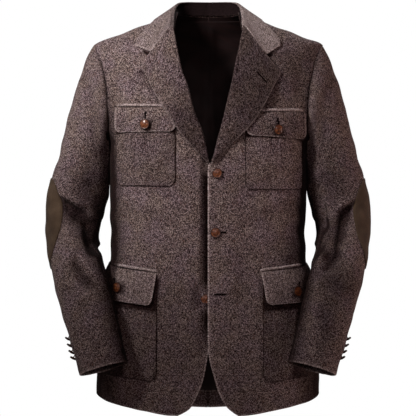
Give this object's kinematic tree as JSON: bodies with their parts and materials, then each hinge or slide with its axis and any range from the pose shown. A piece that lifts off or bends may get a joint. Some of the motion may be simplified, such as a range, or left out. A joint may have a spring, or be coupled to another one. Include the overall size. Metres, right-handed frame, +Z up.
{
  "type": "tweed hacking jacket",
  "caption": "Single-breasted tweed jacket filled out with no wearer: notched lapels, flapped patch pockets, elbow patches, open neck, hem and cuffs.",
  "frame": {"origin": "middle of the neck opening, level with the nape of the neck, where the wearer's neck and shoulders carry the jacket", "axes": "+Z up, fronts face -Y, +X towards the wearer's left side"},
  "size_m": [0.6504, 0.3316, 0.8319],
  "materials": {
    "tweed": "woven wool tweed, brown and grey flecks, matt with a light nap",
    "suede": "dark brown suede, soft nap",
    "lining": "very dark brown satin lining, low sheen",
    "button": "polished brown, domed with a raised rim"
  },
  "bodies": {
    "root": {"back_left": "tweed", "back_right": "tweed", "chest_button_left": "button", "chest_button_right": "button", "chest_flap_left": "tweed", "chest_flap_right": "tweed", "chest_pocket_left": "tweed", "chest_pocket_right": "tweed", "collar": "tweed", "cuff_button_left_1": "button", "cuff_button_left_2": "button", "cuff_button_left_3": "button", "cuff_button_left_4": "button", "cuff_button_right_1": "button", "cuff_button_right_2": "button", "cuff_button_right_3": "button", "cuff_button_right_4": "button", "cuff_lining_left": "lining", "cuff_lining_right": "lining", "elbow_patch_left": "suede", "elbow_patch_right": "suede", "front_button_bottom": "button", "front_button_middle": "button", "front_button_top": "button", "front_left": "tweed", "front_right": "tweed", "lapel_left": "tweed", "lapel_right": "tweed", "lining_back": "lining", "lower_button_left": "button", "lower_button_right": "button", "lower_flap_left": "tweed", "lower_flap_right": "tweed", "lower_pocket_left": "tweed", "lower_pocket_right": "tweed", "top_sleeve_left": "tweed", "top_sleeve_right": "tweed", "under_sleeve_left": "tweed", "under_sleeve_right": "tweed"}
  },
  "joints": []
}
